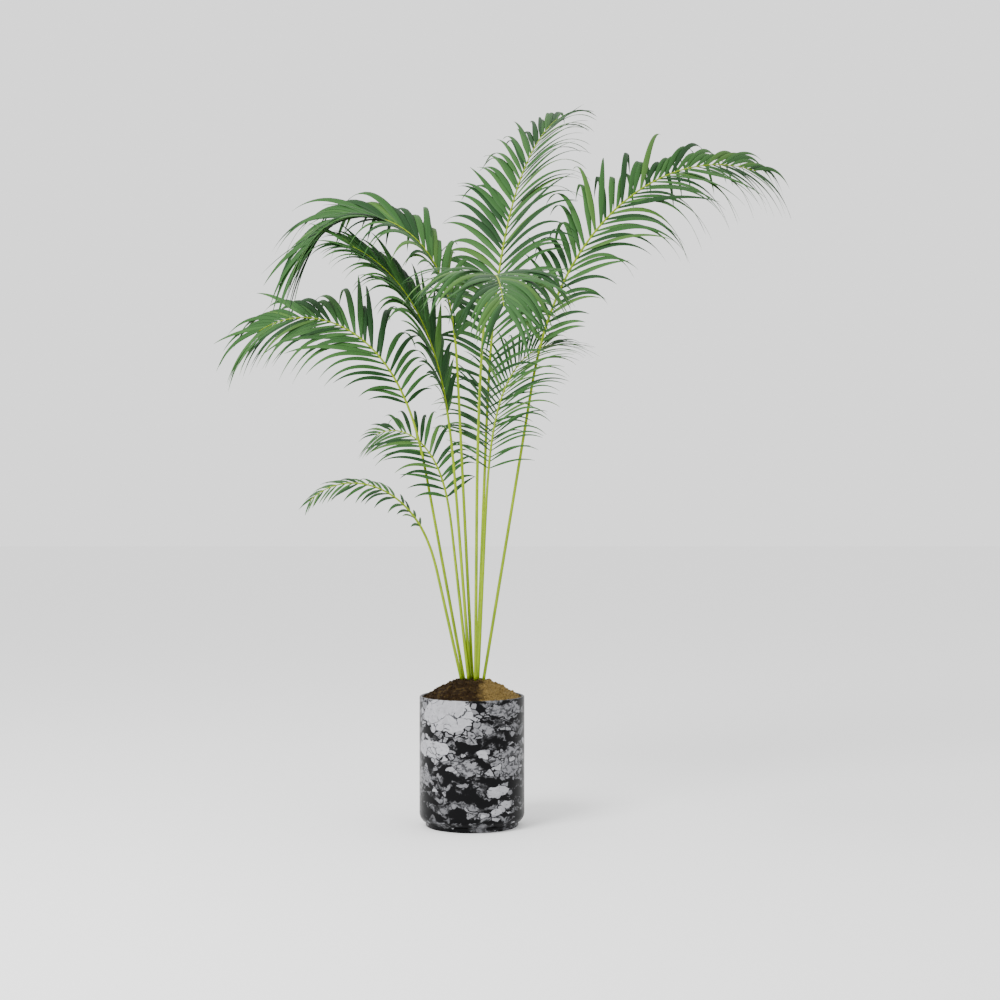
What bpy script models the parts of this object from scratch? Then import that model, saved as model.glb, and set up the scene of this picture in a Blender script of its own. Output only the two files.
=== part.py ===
"""A tall feather-leaved palm with nine arching fronds, standing in a round marble pot.

Lengths are in metres and angles in degrees, +Z is up, and the origin is the middle of the pot's underside.
Each frond is one midrib that rises from the soil and arches over. Its bare foot is a stalk, and its leafy
part is two feathered blades that meet where the arch bends over the open space under it.
"""

import math
import random
from typing import NamedTuple

import bmesh
import bpy
from mathutils import Vector
from mathutils.bvhtree import BVHTree

GAP = 0.0003

POT_WIDTH = 0.300
POT_HEIGHT = 0.370
POT_WALL = 0.008
POT_FLOOR = 0.018
POT_FOOT_WIDTH = 0.264
POT_FOOT_HEIGHT = 0.013
POT_BELLY_HEIGHT = 0.037
POT_EDGE = 0.003
POT_SEGMENTS = 36
ROUND_STEPS = 3
BELLY_START_ANGLE = -70
MERGE_DISTANCE = 1e-6
SMOOTH_ANGLE = 35

SOIL_EDGE_HEIGHT = 0.362
SOIL_SHOULDER_HEIGHT = 0.392
SOIL_SHOULDER_WIDTH = 0.190
SOIL_TOP_HEIGHT = 0.414
SOIL_TOP_WIDTH = 0.096

STALK_FOOT_RADIUS = 0.0046
RIB_TIP_RADIUS = 0.0011
STALK_SIDES = 8
STALK_RINGS = 7
RIB_TAPER_POWER = 2.0
WALK_STEP = 0.005

STATION_SCATTER = 0.22
OPEN_SCATTER = 6.0
LIFT_SCATTER = 6.0
SCATTER_AT_TIP = 0.5
LENGTH_SCATTER = 0.08
SAG_SCATTER = 0.40
STIFF_SHARE = 0.12
STIFF_SAG = 0.35
SAG_POWER = 1.9
SAG_LENGTH = 0.25
SHINGLE = -10.0
SHINGLE_SCATTER = 6.0
NARROW_LEAFLET_SHARE = 0.6
TIP_WIDTH_SHARE = 0.72
TIP_NARROWING_FROM = 0.45
SLIM_UNTIL = 0.5

LEAFLET_STEPS = 20
LEAFLET_ROOT = 0.006
LEAFLET_RINGS = (0.3, 0.65)
LEAFLET_ROOT_SHARE = 0.3
LEAFLET_WIDENING = 2.4
LEAFLET_POINT_POWER = 2.4
LEAFLET_THICKNESS_SHARE = 0.011
CLEARANCE = 0.0004
CLEAR_OF_RIB_FROM = 0.15
CORNERS = 4
RIB_FLAT = 0.85
LEFT_CORNERS = (0, 3)
RIGHT_CORNERS = (1, 2)

LEAF_GREEN = (0.085, 0.19, 0.075, 1.0)
STALK_GREEN = (0.36, 0.45, 0.045, 1.0)
MARBLE_GREY = (0.22, 0.22, 0.22, 1.0)
SOIL_BROWN = (0.07, 0.04, 0.02, 1.0)
LEAF_ROUGHNESS = 0.45
MARBLE_ROUGHNESS = 0.25
SOIL_ROUGHNESS = 0.95


class Frond(NamedTuple):
    """One frond: stations are lengths along its midrib from the soil, and shares are of its longest leaflet."""

    number: int
    foot: tuple
    heading: float
    swing: float
    lean: float
    arch: float
    arch_power: float
    bend: float
    leafy_from: float
    split: float
    length: float
    pairs: int
    leaflet: float
    leaflet_width: float
    slim_base: float
    base_share: float
    full_by: float
    tip_share: float
    open_base: float
    open_tip: float
    open_power: float
    lift_base: float
    lift_tip: float
    roll: float
    twist: float
    sag: float
    sag_at_tip: float
    crowding: float


FRONDS = (
    Frond(
        number=1, foot=(-0.030, -0.004), heading=187, swing=0, lean=12.7, arch=124, arch_power=1.6,
        bend=0.30, leafy_from=0.45, split=0.64, length=0.83, pairs=18, leaflet=0.11, leaflet_width=0.0135,
        slim_base=1.0, base_share=0.65, full_by=0.40, tip_share=0.45, open_base=64, open_tip=28, open_power=1.5,
        lift_base=2, lift_tip=-12, roll=-9, twist=-25, sag=2.0, sag_at_tip=1.15, crowding=1.2,
    ),
    Frond(
        number=2, foot=(-0.023, 0.008), heading=155, swing=6.5, lean=11.7, arch=108.5, arch_power=1.77,
        bend=0.565, leafy_from=0.80, split=1.15, length=1.42, pairs=30, leaflet=0.275, leaflet_width=0.021,
        slim_base=0.8, base_share=0.42, full_by=0.36, tip_share=0.75, open_base=56, open_tip=18, open_power=1.0,
        lift_base=4, lift_tip=0, roll=-34, twist=-30, sag=1.6, sag_at_tip=1.3, crowding=1.15,
    ),
    Frond(
        number=3, foot=(-0.010, 0.004), heading=148, swing=5, lean=7.6, arch=108, arch_power=2.24,
        bend=0.39, leafy_from=0.52, split=0.73, length=0.875, pairs=19, leaflet=0.175, leaflet_width=0.014,
        slim_base=1.0, base_share=0.60, full_by=0.50, tip_share=0.55, open_base=60, open_tip=26, open_power=1.2,
        lift_base=6, lift_tip=-6, roll=-34, twist=-20, sag=1.7, sag_at_tip=1.2, crowding=1.1,
    ),
    Frond(
        number=4, foot=(-0.005, 0.016), heading=184, swing=0, lean=4.4, arch=60.5, arch_power=2.67,
        bend=0.43, leafy_from=0.76, split=1.06, length=1.335, pairs=32, leaflet=0.240, leaflet_width=0.027,
        slim_base=1.0, base_share=0.58, full_by=0.42, tip_share=0.60, open_base=38, open_tip=18, open_power=0.8,
        lift_base=10, lift_tip=0, roll=-17, twist=-20, sag=1.4, sag_at_tip=1.2, crowding=1.2,
    ),
    Frond(
        number=5, foot=(0.001, 0.027), heading=178, swing=-7.5, lean=2.8, arch=146, arch_power=2.22,
        bend=0.836, leafy_from=0.97, split=1.34, length=1.634, pairs=36, leaflet=0.3, leaflet_width=0.026,
        slim_base=1.0, base_share=0.46, full_by=0.49, tip_share=0.95, open_base=52, open_tip=14, open_power=0.8,
        lift_base=16, lift_tip=10, roll=-5, twist=-42, sag=1.7, sag_at_tip=1.3, crowding=1.2,
    ),
    Frond(
        number=6, foot=(0.010, -0.020), heading=274, swing=1, lean=8, arch=120, arch_power=1.27,
        bend=0.43, leafy_from=1.14, split=1.44, length=1.74, pairs=30, leaflet=0.27, leaflet_width=0.0185,
        slim_base=1.0, base_share=0.75, full_by=0.25, tip_share=0.70, open_base=68, open_tip=20, open_power=1.1,
        lift_base=14, lift_tip=8, roll=0, twist=0, sag=1.7, sag_at_tip=1.0, crowding=1.1,
    ),
    Frond(
        number=7, foot=(0.014, 0.004), heading=72, swing=-9, lean=6.7, arch=55, arch_power=1.74,
        bend=0.63, leafy_from=0.67, split=1.26, length=1.915, pairs=50, leaflet=0.275, leaflet_width=0.0235,
        slim_base=0.38, base_share=0.56, full_by=0.36, tip_share=0.8, open_base=66, open_tip=14, open_power=1.2,
        lift_base=15, lift_tip=11, roll=-4, twist=6, sag=1.4, sag_at_tip=0.65, crowding=1.05,
    ),
    Frond(
        number=8, foot=(0.017, -0.006), heading=42, swing=-9, lean=3.5, arch=83, arch_power=3.8,
        bend=0.274, leafy_from=0.60, split=0.85, length=1.074, pairs=34, leaflet=0.215, leaflet_width=0.0095,
        slim_base=0.8, base_share=0.70, full_by=0.25, tip_share=0.70, open_base=64, open_tip=20, open_power=1.1,
        lift_base=12, lift_tip=8, roll=26, twist=0, sag=1.3, sag_at_tip=1.0, crowding=1.1,
    ),
    Frond(
        number=9, foot=(0.033, -0.004), heading=28, swing=9, lean=10.6, arch=86.5, arch_power=1.18,
        bend=0.85, leafy_from=0.98, split=1.50, length=2.095, pairs=42, leaflet=0.300, leaflet_width=0.022,
        slim_base=1.0, base_share=0.45, full_by=0.40, tip_share=0.75, open_base=54, open_tip=20, open_power=0.8,
        lift_base=12, lift_tip=6, roll=32, twist=34, sag=1.9, sag_at_tip=1.1, crowding=1.05,
    ),
)


class Leaflet(NamedTuple):
    """One leaflet as it leaves its midrib, before gravity bends it."""

    station: float
    side: int
    direction: Vector
    rib_way: Vector
    upper: Vector
    length: float
    width: float
    sag: float
    shingle: float


def smooth_rise(share):
    """0 to 1 with level ends."""
    held = min(1.0, max(0.0, share))
    return held * held * (3 - 2 * held)


def between(start, end, share):
    return start + (end - start) * share


class Midrib:
    """The arching middle line of one frond, walked from the soil in short even steps."""

    def __init__(self, frond):
        self.frond = frond
        self.steps = math.ceil(frond.length / WALK_STEP)
        self.step = frond.length / self.steps
        self.points = [Vector((frond.foot[0], frond.foot[1], SOIL_TOP_HEIGHT + GAP))]
        for index in range(self.steps):
            forward = self.axes((index + 0.5) * self.step)[0]
            self.points.append(self.points[-1] + forward * self.step)

    def axes(self, station):
        """Forward, sideways and upper directions: the leaflets' rows stand out sideways."""
        frond = self.frond
        bent = max(0.0, (station - frond.bend) / (frond.length - frond.bend))
        tilt = math.radians(frond.lean + frond.arch * bent**frond.arch_power)
        heading = math.radians(frond.heading + frond.swing * bent)
        away = Vector((math.cos(heading), math.sin(heading), 0))
        forward = away * math.sin(tilt) + Vector((0, 0, math.cos(tilt)))
        level = Vector((-math.sin(heading), math.cos(heading), 0))
        inner = Vector((0, 0, math.sin(tilt))) - away * math.cos(tilt)
        roll = math.radians(frond.roll + frond.twist * bent)
        sideways = level * math.cos(roll) + inner * math.sin(roll)
        upper = inner * math.cos(roll) - level * math.sin(roll)
        return forward, sideways, upper

    def point(self, station):
        place = min(self.steps, max(0.0, station / self.step))
        index = min(self.steps - 1, int(place))
        return self.points[index].lerp(self.points[index + 1], place - index)

    def radius(self, station):
        return between(STALK_FOOT_RADIUS, RIB_TIP_RADIUS, (station / self.frond.length) ** RIB_TAPER_POWER)


def leaflets_of(frond, rib):
    """Every leaflet of a frond, in opposite pairs from the lowest to the tip, with the scatter of growth."""
    chance = random.Random(frond.number)
    leafy = frond.length - frond.leafy_from
    for pair in range(frond.pairs):
        place = (pair + 0.5 + chance.uniform(-STATION_SCATTER, STATION_SCATTER)) / frond.pairs
        share = 1 - (1 - place) ** frond.crowding
        station = frond.leafy_from + leafy * share
        forward, sideways, upper = rib.axes(station)
        calm = between(1, SCATTER_AT_TIP, share)
        grown = between(frond.base_share, 1, smooth_rise(share / frond.full_by))
        grown *= between(1, frond.tip_share, smooth_rise(2 * share - 1))
        narrowing = smooth_rise((share - TIP_NARROWING_FROM) / (1 - TIP_NARROWING_FROM))
        width = frond.leaflet_width * between(NARROW_LEAFLET_SHARE, 1, grown)
        width *= between(1, TIP_WIDTH_SHARE, narrowing)
        width *= between(frond.slim_base, 1, smooth_rise(share / SLIM_UNTIL))
        for side in (-1, 1):
            opening = between(frond.open_base, frond.open_tip, share**frond.open_power)
            opening = math.radians(opening + chance.uniform(-1, 1) * OPEN_SCATTER * calm)
            lift = between(frond.lift_base, frond.lift_tip, share)
            lift = math.radians(lift + chance.uniform(-1, 1) * LIFT_SCATTER * calm)
            out = sideways * (side * math.cos(lift)) + upper * math.sin(lift)
            length = frond.leaflet * grown * (1 + chance.uniform(-1, 1) * LENGTH_SCATTER)
            sag = frond.sag * between(1, frond.sag_at_tip, share) * (1 + chance.uniform(-1, 1) * SAG_SCATTER)
            stiff = chance.random() < STIFF_SHARE
            yield Leaflet(
                station=station,
                side=side,
                direction=forward * math.cos(opening) + out * math.sin(opening),
                rib_way=forward,
                upper=upper,
                length=length,
                width=width,
                sag=sag * (STIFF_SAG if stiff else 1) * length / SAG_LENGTH,
                shingle=math.radians(SHINGLE + chance.uniform(-1, 1) * SHINGLE_SCATTER),
            )


def leaflet_axes(leaflet, share):
    """Direction, width way and upper face of a leaflet at a share of its length, as its weight bends it down."""
    along = (leaflet.direction - Vector((0, 0, leaflet.sag * share**SAG_POWER))).normalized()
    root_way = (leaflet.rib_way - leaflet.direction * leaflet.rib_way.dot(leaflet.direction)).normalized()
    across = (root_way - along * root_way.dot(along)).normalized()
    face = along.cross(across).normalized()
    if face.dot(leaflet.upper) < 0:
        face.negate()
    turned = across * math.cos(leaflet.shingle) + face * math.sin(leaflet.shingle)
    lifted = face * math.cos(leaflet.shingle) - across * math.sin(leaflet.shingle)
    return along, turned, lifted


def leaflet_half_width(leaflet, share):
    """A narrow root, the full width by a third of the way, and a long point."""
    widening = min(1.0, LEAFLET_ROOT_SHARE + LEAFLET_WIDENING * share)
    return leaflet.width / 2 * widening * (1 - share**LEAFLET_POINT_POWER)


def leaflet_line(leaflet, root):
    """The leaflet's middle line from its root on the midrib to its point."""
    line = [root]
    for index in range(LEAFLET_STEPS):
        along = leaflet_axes(leaflet, (index + 0.5) / LEAFLET_STEPS)[0]
        line.append(line[-1] + along * (leaflet.length / LEAFLET_STEPS))
    return line


def ring(bm, points):
    """Corners at the points, and the closed loop of edges through them."""
    corners = [bm.verts.new(point) for point in points]
    edges = [bm.edges.new((corners[index - 1], corners[index])) for index in range(len(corners))]
    return corners, edges


def skin(bm, rings):
    """Skins a row of rings into one closed tube, and gives back the corners of each ring."""
    loops = [ring(bm, points) for points in rings]
    for (_, lower), (_, higher) in zip(loops, loops[1:]):
        bmesh.ops.bridge_loops(bm, edges=lower + higher)
    bmesh.ops.contextual_create(bm, geom=loops[0][1])
    bmesh.ops.contextual_create(bm, geom=loops[-1][1])
    return [corners for corners, _ in loops]


def leaflet_ring(leaflet, line, share, spare=0.0):
    """Four corners round a leaflet: rear and front of its upper face, then front and rear of its lower one."""
    across, face = leaflet_axes(leaflet, share)[1:]
    middle = line[round(share * LEAFLET_STEPS)]
    side = across * (leaflet_half_width(leaflet, share) + spare)
    rise = face * (leaflet.length * LEAFLET_THICKNESS_SHARE / 2 + spare)
    return middle - side + rise, middle + side + rise, middle + side - rise, middle - side - rise


def leaflet_tree(leaflet, line, start=0.0):
    """The space that a leaflet needs, from a share of its length to its point, for finding what it touches."""
    corners = []
    faces = []
    for share in (start,) + LEAFLET_RINGS:
        first = len(corners)
        corners += leaflet_ring(leaflet, line, share, CLEARANCE)
        for corner in range(CORNERS):
            after = (corner + 1) % CORNERS
            faces.append((first + corner, first + after, first + CORNERS + after, first + CORNERS + corner))
    corners += [line[-1]] * CORNERS
    return BVHTree.FromPolygons(corners, faces)


def round_ring(rib, station, sides, level=False):
    """Points round the midrib, square to it or, for the flat cut at the soil, level."""
    forward, sideways, upper = rib.axes(station)
    middle = rib.point(station)
    points = []
    for index in range(sides):
        turn = 2 * math.pi * index / sides
        offset = (sideways * math.cos(turn) + upper * math.sin(turn)) * rib.radius(station)
        if level:
            offset -= forward * (offset.z / forward.z)
        points.append(middle + offset)
    return points


def limb(rib, start, end, sides, ring_count):
    """The midrib between two stations, as one tapering tube."""
    bm = bmesh.new()
    rings = []
    for index in range(ring_count):
        station = between(start, end, index / (ring_count - 1))
        rings.append(round_ring(rib, station, sides, level=station == 0))
    skin(bm, rings)
    bmesh.ops.recalc_face_normals(bm, faces=bm.faces)
    return bm


def material(name, colour, roughness):
    made = bpy.data.materials.new(name)
    made.use_nodes = True
    shader = made.node_tree.nodes["Principled BSDF"]
    shader.inputs["Base Color"].default_value = colour
    shader.inputs["Roughness"].default_value = roughness
    made.diffuse_color = colour
    return made


def body_from(name, bm, finish):
    """Puts a finished bmesh into the scene as a named object."""
    mesh = bpy.data.meshes.new(name)
    bm.to_mesh(mesh)
    mesh.materials.append(finish)
    body = bpy.data.objects.new(name, mesh)
    bpy.context.scene.collection.objects.link(body)
    return body


def shade_round(body):
    body.data.shade_smooth()
    body.data.set_sharp_from_angle(angle=math.radians(SMOOTH_ANGLE))


def arc(middle_radius, middle_height, size, start, end):
    """Profile points on a round of the given size, from one angle to another."""
    points = []
    for index in range(ROUND_STEPS + 1):
        angle = math.radians(between(start, end, index / ROUND_STEPS))
        points.append((middle_radius + size * math.cos(angle), middle_height + size * math.sin(angle)))
    return points


def turned(name, profile, finish):
    """Turns a profile of radius and height pairs, which starts and ends on the axis, into a closed solid."""
    bm = bmesh.new()
    points = [bm.verts.new((radius, 0, height)) for radius, height in profile]
    edges = [bm.edges.new(pair) for pair in zip(points, points[1:])]
    bmesh.ops.spin(
        bm,
        geom=points + edges,
        cent=(0, 0, 0),
        axis=(0, 0, 1),
        angle=2 * math.pi,
        steps=POT_SEGMENTS,
        use_merge=True,
    )
    bmesh.ops.remove_doubles(bm, verts=bm.verts, dist=MERGE_DISTANCE)
    bmesh.ops.recalc_face_normals(bm, faces=bm.faces)
    body = body_from(name, bm, finish)
    bm.free()
    shade_round(body)
    return body


def make_pot(finish):
    """A straight-walled round pot whose belly rounds in to a narrower foot, hollow from its rim down."""
    outer = POT_WIDTH / 2
    inner = outer - POT_WALL
    foot = POT_FOOT_WIDTH / 2
    belly = POT_BELLY_HEIGHT - POT_FOOT_HEIGHT
    lip = POT_WALL / 2
    profile = [(0, 0)]
    profile += arc(foot - POT_EDGE, POT_EDGE, POT_EDGE, -90, 0)
    profile += [(foot, POT_FOOT_HEIGHT)]
    profile += arc(outer - belly, POT_BELLY_HEIGHT, belly, BELLY_START_ANGLE, 0)
    profile += arc(outer - lip, POT_HEIGHT - lip, lip, 0, 180)
    profile += [(inner, POT_FLOOR), (0, POT_FLOOR)]
    return turned("pot", profile, finish)


def make_soil(finish):
    """The soil that fills the pot and rises over its rim as a low mound, flat where the stalks stand."""
    edge = POT_WIDTH / 2 - POT_WALL - GAP
    profile = [
        (0, POT_FLOOR + GAP),
        (edge, POT_FLOOR + GAP),
        (edge, SOIL_EDGE_HEIGHT),
        (SOIL_SHOULDER_WIDTH / 2, SOIL_SHOULDER_HEIGHT),
        (SOIL_TOP_WIDTH / 2, SOIL_TOP_HEIGHT),
        (0, SOIL_TOP_HEIGHT),
    ]
    return turned("soil", profile, finish)


def make_stalk(frond, rib, finish):
    """The bare foot of a frond, cut level at the soil. Gives back what it fills."""
    bm = limb(rib, 0, frond.leafy_from - GAP, STALK_SIDES, STALK_RINGS)
    body = body_from(f"stalk_{frond.number}", bm, finish)
    shade_round(body)
    tree = BVHTree.FromBMesh(bm)
    bm.free()
    return tree


def rib_ring(rib, station):
    """Four corners round the midrib: left and right of its upper face, then right and left of its lower one."""
    sideways, upper = rib.axes(station)[1:]
    middle = rib.point(station)
    out = sideways * (rib.radius(station) * RIB_FLAT)
    rise = upper * (rib.radius(station) * RIB_FLAT)
    return middle - out + rise, middle + out + rise, middle + out - rise, middle - out - rise


class Blade:
    """One feathered half of a frond: a stretch of midrib and the leaflets that grow from its sides."""

    def __init__(self, frond, rib, name, start, end):
        self.name = f"frond_{frond.number}_{name}"
        self.rib = rib
        self.start = start
        self.end = end
        self.core_tree = self.bare_tree()
        self.leaflets = []
        self.leaflet_trees = []

    def bare_tree(self):
        """The stretch of midrib without its leaflets, for finding what touches it."""
        bm = limb(self.rib, self.start, self.end, STALK_SIDES, STALK_RINGS)
        tree = BVHTree.FromBMesh(bm)
        bm.free()
        return tree

    def choose(self, leaflets, others):
        """Keeps each leaflet that touches no stalk, no other blade and no earlier leaflet."""
        for leaflet in leaflets:
            if not self.start + LEAFLET_ROOT < leaflet.station < self.end - LEAFLET_ROOT:
                continue
            line = leaflet_line(leaflet, self.rib.point(leaflet.station))
            whole = leaflet_tree(leaflet, line)
            outer = leaflet_tree(leaflet, line, CLEAR_OF_RIB_FROM)
            if outer.overlap(self.core_tree) or any(whole.overlap(tree) for tree in others):
                continue
            if any(outer.overlap(tree) for tree in self.leaflet_trees):
                continue
            self.leaflets.append((leaflet, line))
            self.leaflet_trees.append(whole)

    def rings(self):
        """Stations along the midrib: its ends, and the rear and front of each pair's roots."""
        stations = [self.start]
        for station in sorted({leaflet.station for leaflet, _ in self.leaflets}):
            stations += [station - LEAFLET_ROOT / 2, station + LEAFLET_ROOT / 2]
        return stations + [self.end]

    def make(self, finish):
        """Skins the midrib and draws each leaflet out of the side face that it stands on."""
        bm = bmesh.new()
        stations = self.rings()
        corners = skin(bm, [rib_ring(self.rib, station) for station in stations])
        for leaflet, line in self.leaflets:
            rear = stations.index(leaflet.station - LEAFLET_ROOT / 2)
            upper, lower = LEFT_CORNERS if leaflet.side < 0 else RIGHT_CORNERS
            root = [corners[rear][upper], corners[rear + 1][upper]]
            root += [corners[rear + 1][lower], corners[rear][lower]]
            draw_out(bm, root, leaflet, line)
        bmesh.ops.recalc_face_normals(bm, faces=bm.faces)
        body_from(self.name, bm, finish)
        bm.free()


def draw_out(bm, root, leaflet, line):
    """Extrudes a leaflet from the face between four root corners, ring by ring to its point."""
    for share in LEAFLET_RINGS:
        end = bmesh.ops.extrude_discrete_faces(bm, faces=[bm.faces.get(root)])["faces"][0]
        root = [min(end.verts, key=lambda corner: (corner.co - old).length) for old in [c.co for c in root]]
        for corner, place in zip(root, leaflet_ring(leaflet, line, share)):
            corner.co = place
    point = bmesh.ops.poke(bm, faces=[bm.faces.get(root)])["verts"][0]
    point.co = line[-1]


def make_fronds(stalk_finish, leaf_finish):
    """Places every stalk and midrib first, then feathers the blades one after another."""
    stalk_trees = []
    blades = []
    leaflets = {}
    for frond in FRONDS:
        rib = Midrib(frond)
        stalk_trees.append(make_stalk(frond, rib, stalk_finish))
        lower = Blade(frond, rib, "lower", frond.leafy_from, frond.split - GAP / 2)
        outer = Blade(frond, rib, "outer", frond.split + GAP / 2, frond.length)
        blades += [lower, outer]
        leaflets[rib] = list(leaflets_of(frond, rib))
    for blade in blades:
        others = list(stalk_trees)
        for other in blades:
            if other is not blade:
                others += [other.core_tree] + other.leaflet_trees
        blade.choose(leaflets[blade.rib], others)
    for blade in blades:
        blade.make(leaf_finish)


def main():
    for thing in list(bpy.data.objects):
        bpy.data.objects.remove(thing)
    make_pot(material("marble", MARBLE_GREY, MARBLE_ROUGHNESS))
    make_soil(material("soil", SOIL_BROWN, SOIL_ROUGHNESS))
    make_fronds(
        material("stalk", STALK_GREEN, LEAF_ROUGHNESS),
        material("leaf", LEAF_GREEN, LEAF_ROUGHNESS),
    )


main()
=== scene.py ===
"""Looks of a tall feather palm in a round marble pot: pot, soil, stalks, leaflets and a plain studio.

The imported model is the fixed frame. Lengths are in metres and angles in degrees, +Z is up, and the origin is
the middle of the pot's underside. Fronds grow by the rule that shaped the frame's own, with every leaflet.
"""

import math
import random
from typing import NamedTuple

import bmesh
import bpy
from bpy.props import FloatProperty, FloatVectorProperty, IntProperty, PointerProperty
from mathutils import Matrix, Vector, noise


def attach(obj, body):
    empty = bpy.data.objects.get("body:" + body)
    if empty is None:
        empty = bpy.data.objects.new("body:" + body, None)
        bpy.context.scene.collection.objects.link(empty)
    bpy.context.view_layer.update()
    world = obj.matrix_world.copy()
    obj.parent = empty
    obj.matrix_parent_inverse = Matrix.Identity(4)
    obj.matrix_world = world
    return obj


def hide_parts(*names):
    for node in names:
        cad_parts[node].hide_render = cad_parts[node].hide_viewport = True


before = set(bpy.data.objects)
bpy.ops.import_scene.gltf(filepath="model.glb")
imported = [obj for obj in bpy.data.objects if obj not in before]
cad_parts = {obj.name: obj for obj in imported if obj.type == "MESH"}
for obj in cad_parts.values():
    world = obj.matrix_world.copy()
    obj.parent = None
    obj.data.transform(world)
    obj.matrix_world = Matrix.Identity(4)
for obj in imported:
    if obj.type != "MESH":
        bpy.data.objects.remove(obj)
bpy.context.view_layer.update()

bl_info = {
    "name": "Potted Feather Palm",
    "version": (1, 0, 0),
    "blender": (4, 5, 0),
    "location": "3D View > Sidebar > Palm",
    "description": "Dresses a feather palm in a marble pot, leaflet by leaflet",
    "category": "Object",
}

# Room between the soil and the pot, and between the soil and the stalks.
GAP = 0.0003

# The pot's profile, from its foot ring to its rim. Edges that turn by more than the sharp angle stay sharp.
POT_WALL = 0.008
POT_FLOOR = 0.018
POT_FOOT_WIDTH = 0.264
POT_FOOT_HEIGHT = 0.013
POT_BELLY_HEIGHT = 0.037
POT_EDGE = 0.003
BELLY_START_ANGLE = -70
SHARP_ANGLE = 35
ARC_STEPS = 8
MERGE_DISTANCE = 1e-6

# The mound, from where it meets the wall to its flat top. Lumps are to the metre, and their shares are of the
# relief. The fine ones are read from a layer of the noise of their own.
SOIL_EDGE_HEIGHT = 0.362
SOIL_SHOULDER_HEIGHT = 0.392
SOIL_SHOULDER_WIDTH = 0.190
SOIL_TOP_HEIGHT = 0.414
SOIL_TOP_WIDTH = 0.096
MOUND_RINGS = 48
MOUND_STEPS = 144
BROAD_LUMPS = 45
BROAD_SHARE = 0.8
FINE_LUMPS = 160
FINE_SHARE = 0.5
FINE_LAYER = 5

# A crumb's share of the largest size is the square of a draw from the least one up to 1.
LEAST_CRUMB_DRAW = 0.2
CRUMB_UNEVENNESS = 0.25

# Stalks and midribs, with the shallow channel along the top of the leafy part.
STALK_FOOT_RADIUS = 0.0046
RIB_TIP_RADIUS = 0.0011
RIB_TAPER_POWER = 2.0
WALK_STEP = 0.005
CHANNEL_RUN_IN = 0.1
CHANNEL_DEPTH = 0.22
CHANNEL_SHARPNESS = 4

# How leaflets leave the midrib, with the scatter of growth.
STATION_SCATTER = 0.22
OPEN_SCATTER = 6.0
LIFT_SCATTER = 6.0
SCATTER_AT_TIP = 0.5
LENGTH_SCATTER = 0.08
SHINGLE = -10.0
SHINGLE_SCATTER = 6.0

# How leaflets hang: one of the sag length hangs by its frond's own sag, and a few are stiff.
SAG_SCATTER = 0.40
SAG_LENGTH = 0.25
SAG_POWER = 1.9
STIFF_SHARE = 0.12
STIFF_SAG = 0.35

# Widths of leaflets from the base of a frond to its tip, and of one leaflet from its root to its point.
NARROW_LEAFLET_SHARE = 0.6
SLIM_UNTIL = 0.5
TIP_NARROWING_FROM = 0.45
TIP_WIDTH_SHARE = 0.72
LEAFLET_ROOT_SHARE = 0.3
LEAFLET_WIDENING = 2.4
LEAFLET_POINT_POWER = 2.4

# The flat strip that every leaflet is bent from is one unit long and wide, with its middle at the origin.
STRIP_HALF = 0.5

# Seeds of the draws, and the share of the leaflets in each of the four greens.
LEAF_SEED = 41
CRUMB_SEED = 7
GREEN_SHARES = (0.42, 0.30, 0.18, 0.10)

# The marble's angular cells, and the shares of a patch's reach at which its masks are 0 and then 1.
CELL_SCALE = 40.0
CELL_FLATNESS = 1.6
WHOLE_EDGE = (0.90, 0.87)
BROKEN_EDGE = (1.17, 1.16)

# The studio.
FLOOR_COLOUR = (0.93, 0.93, 0.93)
FLOOR_ROUGHNESS = 0.9
ROOM_COLOUR = (1.0, 1.0, 1.0)
KEY_LIGHT_SIZE = 2.2
KEY_LIGHT_PLACE = (-2.4, -2.8, 3.9)
KEY_LIGHT_TARGET = (0.0, 0.0, 1.1)
SENSOR_WIDTH = 36.0
LEVEL_VIEW = (math.radians(90), 0, 0)


class Frond(NamedTuple):
    """One frond, with base and tip for the two ends of its leafy part.

    Its bend, its leafy start and its length are measured along the midrib from the soil. Shares are of the
    longest leaflet's length, apart from slim_base, which is of the width, and full_by, of the leafy part.
    """

    number: int
    foot: tuple
    heading: float
    swing: float
    lean: float
    arch: float
    arch_power: float
    bend: float
    leafy_from: float
    length: float
    pairs: int
    leaflet: float
    leaflet_width: float
    slim_base: float
    base_share: float
    full_by: float
    tip_share: float
    open_base: float
    open_tip: float
    open_power: float
    lift_base: float
    lift_tip: float
    roll: float
    twist: float
    sag: float
    sag_at_tip: float
    crowding: float


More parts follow.
